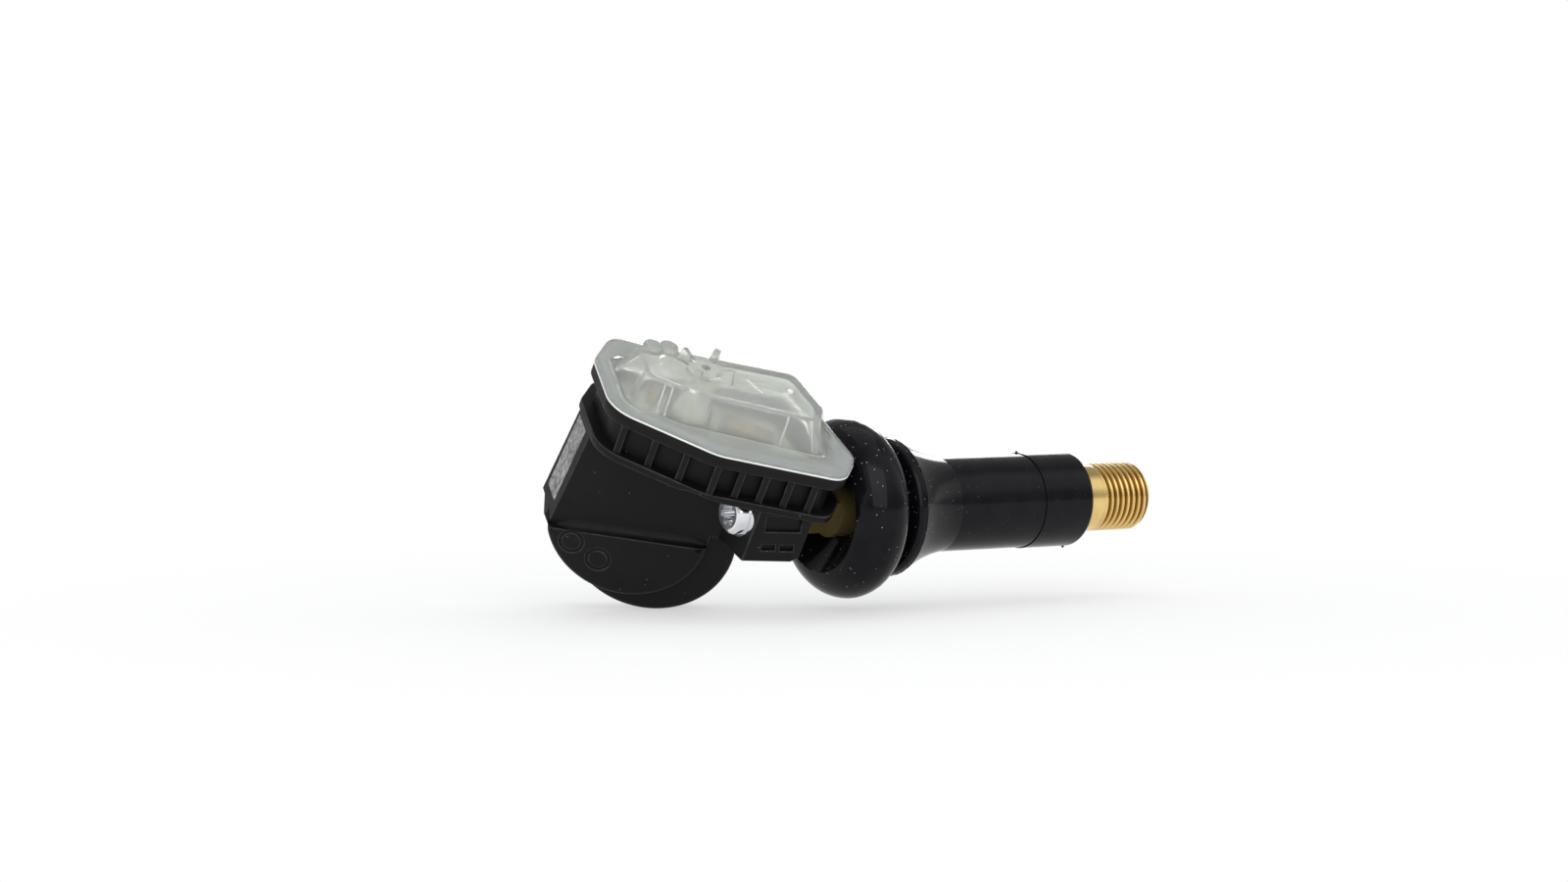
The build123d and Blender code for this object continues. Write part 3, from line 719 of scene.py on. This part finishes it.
def makeSeam(name):
    seam = rubberSeams[name]
    draw = random.Random(seam["seed"])
    foot = rubberRadius(seam["x"]) - seamSink
    heights = [seam["height"] * draw.random() ** 2 for _ in range(seamSteps)]
    corners, faces = [], []
    for k in range(seamSteps):
        angle = 2 * math.pi * k / seamSteps
        smoothed = (heights[k - 1] + 2 * heights[k] + heights[(k + 1) % seamSteps]) / 4
        crest = foot + seamSink + smoothed
        for dx, r in ((-seam["width"] / 2, foot), (0.0, crest), (seam["width"] / 2, foot)):
            corners.append((seam["x"] + dx, r * math.cos(angle), r * math.sin(angle)))
        here, after = 3 * k, 3 * ((k + 1) % seamSteps)
        for i in range(3):
            j = (i + 1) % 3
            faces.append((here + i, here + j, after + j, after + i))
    mesh = bpy.data.meshes.new(name)
    mesh.from_pydata(corners, [], faces)
    addPiece(name, mesh, rubber)


for seamName in rubberSeams:
    makeSeam(seamName)

nibs = {
    "spots": ((20.95, 3.0), (27.3, 183.0)),   # mm along the stem, degrees round it
    "foot": 0.24 * mm, "tip": 0.10 * mm, "tall": 0.4 * mm, "sink": 0.2 * mm, "around": 14,
}


def makeNibs():
    work = bmesh.new()
    for along, angle in nibs["spots"]:
        out = Matrix.Rotation(math.radians(-angle), 4, "X")
        rise = rubberRadius(along * mm) + nibs["tall"] / 2 - nibs["sink"]
        place = Matrix.Translation((along * mm, 0.0, 0.0)) @ out @ Matrix.Translation((0.0, 0.0, rise))
        bmesh.ops.create_cone(
            work, cap_ends=True, segments=nibs["around"], radius1=nibs["foot"], radius2=nibs["tip"],
            depth=nibs["tall"], matrix=place,
        )
    mesh = bpy.data.meshes.new("mouldNibs")
    work.to_mesh(mesh)
    work.free()
    addPiece("mouldNibs", mesh, rubber)


makeNibs()

weldPlastic = {"index": 1.42, "rough": 0.38, "cloudPerMm": 0.9, "grain": {"perMm": 6.0, "depth": 0.15}}
weldLook = {   # the bead round the lid's rim
    "colour": (0.86, 0.87, 0.83), "cloudy": (0.93, 0.93, 0.90),
    "thick": 0.13 * mm, "inset": 0.06 * mm, "roundSteps": 3,
}
filmLook = {   # the fused layer that shows through the lid's rim plate
    "colour": (0.25, 0.275, 0.28), "cloudy": (0.36, 0.385, 0.385),
    "from": 0.4 * mm, "to": 2.1 * mm, "rise": 0.03 * mm, "thick": 0.05 * mm,
}


def makeWeldPlastic(name, look):
    material, tree, shader = newMaterial(name, IOR=weldPlastic["index"], Roughness=weldPlastic["rough"])
    cloud = mottle(tree, weldPlastic["cloudPerMm"])
    tree.links.new(blendColours(tree, cloud, look["colour"], look["cloudy"]), shader.inputs["Base Color"])
    addGrain(tree, shader, weldPlastic["grain"])
    return material


weldWhite = makeWeldPlastic("weldWhite", weldLook)
weldGrey = makeWeldPlastic("weldGrey", filmLook)


def lidOutline():
    toCase = caseFrame.inverted()
    spots = [toCase @ v.co for v in nodes["lid"].data.vertices]
    low = min(spot.z for spot in spots)
    flat = [spot.xy for spot in spots]
    return low, [flat[i] for i in geometry.convex_hull_2d(flat)]


def insetOutline(outline, inset):
    moved = []
    for i, spot in enumerate(outline):
        before, after = spot - outline[i - 1], outline[(i + 1) % len(outline)] - spot
        ways = [Vector((-edge.y, edge.x)).normalized() for edge in (before, after)]
        moved.append(spot + (ways[0] + ways[1]) * (inset / (1 + ways[0].dot(ways[1]))))
    return moved


def makeWeldFilm():
    low, outline = lidOutline()
    turned = sum(a.x * b.y - a.y * b.x for a, b in zip(outline, outline[1:] + outline[:1]))
    side = 1 if turned > 0 else -1   # the inner side of the outline
    outer, inner = (insetOutline(outline, side * filmLook[key]) for key in ("from", "to"))
    bottom = low + filmLook["rise"]
    top = bottom + filmLook["thick"]
    corners, faces = [], []
    for near, far in zip(outer, inner):
        for spot, level in ((near, bottom), (near, top), (far, top), (far, bottom)):
            corners.append(caseFrame @ Vector((*spot, level)))
    count = len(outline)
    for k in range(count):
        here, after = 4 * k, 4 * ((k + 1) % count)
        for i in range(4):
            j = (i + 1) % 4
            faces.append((here + i, here + j, after + j, after + i)[::-side])
    mesh = bpy.data.meshes.new("weldFilm")
    mesh.from_pydata(corners, [], faces)
    addPiece("weldFilm", mesh, weldGrey)


makeWeldFilm()


def makeWeldBead():
    low, outline = lidOutline()
    middle = sum(outline, Vector((0.0, 0.0))) / len(outline)
    curve = bpy.data.curves.new("weldBead", "CURVE")
    curve.dimensions = "3D"
    curve.bevel_depth = weldLook["thick"]
    curve.bevel_resolution = weldLook["roundSteps"]
    line = curve.splines.new("POLY")
    line.points.add(len(outline) - 1)
    line.use_cyclic_u = True
    for point, spot in zip(line.points, outline):
        inner = spot + (middle - spot).normalized() * weldLook["inset"]
        point.co = (*(caseFrame @ Vector((*inner, low))), 1.0)
    drawn = bpy.data.objects.new("weldLine", curve)
    mesh = bpy.data.meshes.new_from_object(drawn)
    bpy.data.objects.remove(drawn)
    addPiece("weldBead", mesh, weldWhite)


makeWeldBead()

portHighlightDisc = {   # white disc just under the roof in the port boss, a painted highlight that brightens the port column; case millimetres
    "place": (-20.5, -3.6, 11.45), "foot": 0.62, "top": 0.54, "thick": 0.2, "around": 36,
}


def makePortHighlightDisc():
    work = bmesh.new()
    seat = caseFrame @ Matrix.Scale(mm, 4) @ Matrix.Translation(portHighlightDisc["place"])
    bmesh.ops.create_cone(
        work, cap_ends=True, segments=portHighlightDisc["around"], radius1=portHighlightDisc["foot"],
        radius2=portHighlightDisc["top"], depth=portHighlightDisc["thick"], matrix=seat,
    )
    mesh = bpy.data.meshes.new("portHighlightDisc")
    work.to_mesh(mesh)
    work.free()
    addPiece("portHighlightDisc", mesh, weldWhite)


makePortHighlightDisc()

ribHighlightStrips = {   # opaque white strips in the ribs of the roof's front wall, a painted highlight that shows the ribs as pale lines, case millimetres
    "spots": ((-24.2, -9.82), (-23.3, -9.83), (-10.4, -7.88)), "thick": 0.2, "skin": 0.6, "deep": 2.35,
    "low": 8.45, "high": 11.55, "footLevel": 9.0, "lean": 0.404,
}


def makeRibHighlightStrips():
    corners, faces = [], []
    low, high, footLevel = ribHighlightStrips["low"], ribHighlightStrips["high"], ribHighlightStrips["footLevel"]
    half = ribHighlightStrips["thick"] / 2
    for x, front in ribHighlightStrips["spots"]:
        foot, back = front + ribHighlightStrips["skin"], front + ribHighlightStrips["deep"]
        crown = foot + (high - footLevel) * ribHighlightStrips["lean"]   # the wall leans in
        profile = ((foot, low), (back, low), (back, high), (crown, high), (foot, footLevel))
        start, count = len(corners), len(profile)
        for side in (x - half, x + half):
            corners += [onCase(side, y, z) for y, z in profile]
        near = list(range(start, start + count))
        far = [i + count for i in near]
        faces += [near, far[::-1]]
        for i in range(count):
            j = (i + 1) % count
            faces.append((near[j], far[j], far[i], near[i]))
    mesh = bpy.data.meshes.new("ribHighlightStrips")
    mesh.from_pydata(corners, [], faces)
    addPiece("ribHighlightStrips", mesh, weldWhite)


makeRibHighlightStrips()

lidMarks = {   # case millimetres, on the flat of the roof
    "roof": 12.5, "sink": 0.08,
    "gate": (-10.9, -1.8), "gateFoot": 0.42, "gateTop": 0.336, "gateTall": 0.24, "around": 28,
    "line": ((-15.8, -2.4), (-13.8, -4.2)), "lineWide": 0.16, "lineTall": 0.16,
}


def makeLidMarks():
    work = bmesh.new()
    level = lidMarks["roof"] - lidMarks["sink"]
    gateMiddle = Vector((*lidMarks["gate"], level + lidMarks["gateTall"] / 2))
    bmesh.ops.create_cone(
        work, cap_ends=True, segments=lidMarks["around"], radius1=lidMarks["gateFoot"],
        radius2=lidMarks["gateTop"], depth=lidMarks["gateTall"], matrix=Matrix.Translation(gateMiddle),
    )
    start, end = (Vector(spot) for spot in lidMarks["line"])
    turn = Matrix.Rotation(math.atan2(end.y - start.y, end.x - start.x), 4, "Z")
    lineMiddle = Vector((*((start + end) / 2), level + lidMarks["lineTall"] / 2))
    size = Matrix.Diagonal(((end - start).length, lidMarks["lineWide"], lidMarks["lineTall"], 1.0))
    bmesh.ops.create_cube(work, matrix=Matrix.Translation(lineMiddle) @ turn @ size)
    bmesh.ops.transform(work, matrix=caseFrame @ Matrix.Scale(mm, 4), verts=work.verts)
    mesh = bpy.data.meshes.new("lidMarks")
    work.to_mesh(mesh)
    work.free()
    addPiece("lidMarks", mesh, weldWhite)


makeLidMarks()


print("stage: floor, light and camera")

floorLook = {
    "drop": 0.02 * mm, "half": 6.0, "colour": (0.93, 0.93, 0.93, 1.0), "rough": 0.9,
    "nearWhite": 0.5, "fadeStart": 45.0, "fadeEnd": 110.0,   # shadow fades to white, mm from the origin
}


def makeFloor():
    half, level = floorLook["half"], cadLow.z - floorLook["drop"]
    mesh = bpy.data.meshes.new("floor")
    corners = [(-half, -half, level), (half, -half, level), (half, half, level), (-half, half, level)]
    mesh.from_pydata(corners, [], [(0, 1, 2, 3)])
    floor = bpy.data.objects.new("floor", mesh)
    bpy.context.collection.objects.link(floor)
    material, tree, shader = newMaterial(
        "whiteFloor", Base_Color=floorLook["colour"], Roughness=floorLook["rough"],
        Specular_IOR_Level=0.0,
    )
    reach = addNode(tree, "ShaderNodeVectorMath", {"operation": "LENGTH"}, Vector=millimetres(tree))
    white = span(
        tree, reach.outputs["Value"], floorLook["fadeStart"], floorLook["fadeEnd"],
        floorLook["nearWhite"], 1.0,
    )
    path = tree.nodes.new("ShaderNodeLightPath").outputs
    seen = mathNode(tree, "MAXIMUM", path["Is Camera Ray"], path["Is Glossy Ray"])
    seen = mathNode(tree, "MAXIMUM", seen, path["Is Transmission Ray"])
    paper = addNode(tree, "ShaderNodeEmission", Strength=1.0)
    mix = tree.nodes.new("ShaderNodeMixShader")
    tree.links.new(mathNode(tree, "MULTIPLY", white, seen), mix.inputs[0])
    tree.links.new(shader.outputs[0], mix.inputs[1])
    tree.links.new(paper.outputs[0], mix.inputs[2])
    tree.links.new(mix.outputs[0], tree.nodes["Material Output"].inputs["Surface"])
    mesh.materials.append(material)


makeFloor()

view = {
    "azimuth": -35.0, "elevation": 2.7, "distance": 450.0 * mm,
    "aim": Vector((-2.9 * mm, 0.0, 0.0)), "aimRight": -7.17 * mm, "aimUp": 7.44 * mm,
    "focalPixels": 4142.0, "frameWidth": 1600.0, "sensorWide": 36.0, "near": 0.01, "far": 50.0,
}


def makeCamera():
    turn, rise = math.radians(view["azimuth"]), math.radians(view["elevation"])
    back = Vector((math.sin(turn) * math.cos(rise), -math.cos(turn) * math.cos(rise), math.sin(rise)))
    rightWay = Vector((math.cos(turn), math.sin(turn), 0.0))
    upWay = back.cross(rightWay)
    data = bpy.data.cameras.new("camera")
    camera = bpy.data.objects.new("camera", data)
    bpy.context.collection.objects.link(camera)
    aim = view["aim"] + rightWay * view["aimRight"] + upWay * view["aimUp"]
    camera.location = aim + back * view["distance"]
    camera.rotation_mode = "QUATERNION"
    camera.rotation_quaternion = back.to_track_quat("Z", "Y")
    data.sensor_width = view["sensorWide"]
    data.lens = view["sensorWide"] * view["focalPixels"] / view["frameWidth"]
    data.clip_start = view["near"]
    data.clip_end = view["far"]
    bpy.context.scene.camera = camera
    return back


towardsCamera = makeCamera()

tentLook = {
    "dark": 0.60, "bright": 1.0, "darkUntil": -0.40, "brightFrom": 0.50, "tint": (0.97, 0.985, 1.0, 1.0),
    "mirrored": 1.3,   # brightest band that a polished face mirrors
    "bands": (   # degrees round the stem, 0 in front and 90 overhead, and a share of that brightness
        (-180, 0.62), (-60, 0.62), (-8, 0.58), (10, 0.42), (22, 0.55),
        (36, 1.0), (64, 1.0), (84, 0.36), (145, 0.40), (180, 0.62),
    ),
}


def mirroredGlow(tree):
    place = tree.nodes.new("ShaderNodeSeparateXYZ")
    tree.links.new(tree.nodes.new("ShaderNodeTexCoord").outputs["Generated"], place.inputs[0])
    front = mathNode(tree, "MULTIPLY", place.outputs["Y"], -1.0)
    angle = mathNode(tree, "ARCTAN2", place.outputs["Z"], front)
    ramp = tree.nodes.new("ShaderNodeValToRGB")
    tree.links.new(span(tree, angle, -math.pi, math.pi), ramp.inputs[0])
    stops = ramp.color_ramp.elements
    while len(stops) < len(tentLook["bands"]):
        stops.new(1.0)
    for stop, (degrees, share) in zip(stops, tentLook["bands"]):
        stop.position = (degrees + 180) / 360
        stop.color = (share, share, share, 1.0)
    return mathNode(tree, "MULTIPLY", ramp.outputs["Color"], tentLook["mirrored"])


def makeTent():
    world = bpy.data.worlds.new("tent")
    bpy.context.scene.world = world
    world.use_nodes = True
    tree = world.node_tree
    tree.nodes.clear()
    way = addNode(tree, "ShaderNodeVectorMath", {"operation": "DOT_PRODUCT"})
    tree.links.new(tree.nodes.new("ShaderNodeTexCoord").outputs["Generated"], way.inputs[0])
    way.inputs[1].default_value = -towardsCamera
    glow = span(
        tree, way.outputs["Value"], tentLook["darkUntil"], tentLook["brightFrom"],
        tentLook["dark"], tentLook["bright"],
    )
    cloth = addNode(tree, "ShaderNodeBackground", Color=tentLook["tint"], Strength=glow)
    paper = addNode(tree, "ShaderNodeBackground", Color=(1.0, 1.0, 1.0, 1.0))
    mirrored = addNode(tree, "ShaderNodeBackground", Strength=mirroredGlow(tree))
    path = tree.nodes.new("ShaderNodeLightPath").outputs
    seen = mathNode(tree, "MAXIMUM", path["Is Camera Ray"], path["Is Transmission Ray"])
    surface = cloth
    for share, other in ((path["Is Glossy Ray"], mirrored), (seen, paper)):
        mix = tree.nodes.new("ShaderNodeMixShader")
        tree.links.new(share, mix.inputs[0])
        tree.links.new(surface.outputs[0], mix.inputs[1])
        tree.links.new(other.outputs[0], mix.inputs[2])
        surface = mix
    tree.links.new(surface.outputs[0], tree.nodes.new("ShaderNodeOutputWorld").inputs["Surface"])


makeTent()

lamps = {   # place and size in metres, power in watts
    "topBox": ((0.05, 0.10, 0.60), 0.5, 0.4),
    "backStrip": ((0.46, 0.50, 0.22), 0.24, 0.8),
    "frontBox": ((-0.30, -0.50, 0.30), 0.6, 1.6),
}


def makeLamp(name):
    place, size, power = lamps[name]
    data = bpy.data.lights.new(name, "AREA")
    data.shape = "SQUARE"
    data.size = size
    data.energy = power
    lamp = bpy.data.objects.new(name, data)
    bpy.context.collection.objects.link(lamp)
    lamp.location = place
    lamp.rotation_mode = "QUATERNION"
    lamp.rotation_quaternion = Vector(place).to_track_quat("Z", "Y")


for lampName in lamps:
    makeLamp(lampName)
bpy.context.scene.view_settings.view_transform = "Standard"

print("stage: done")
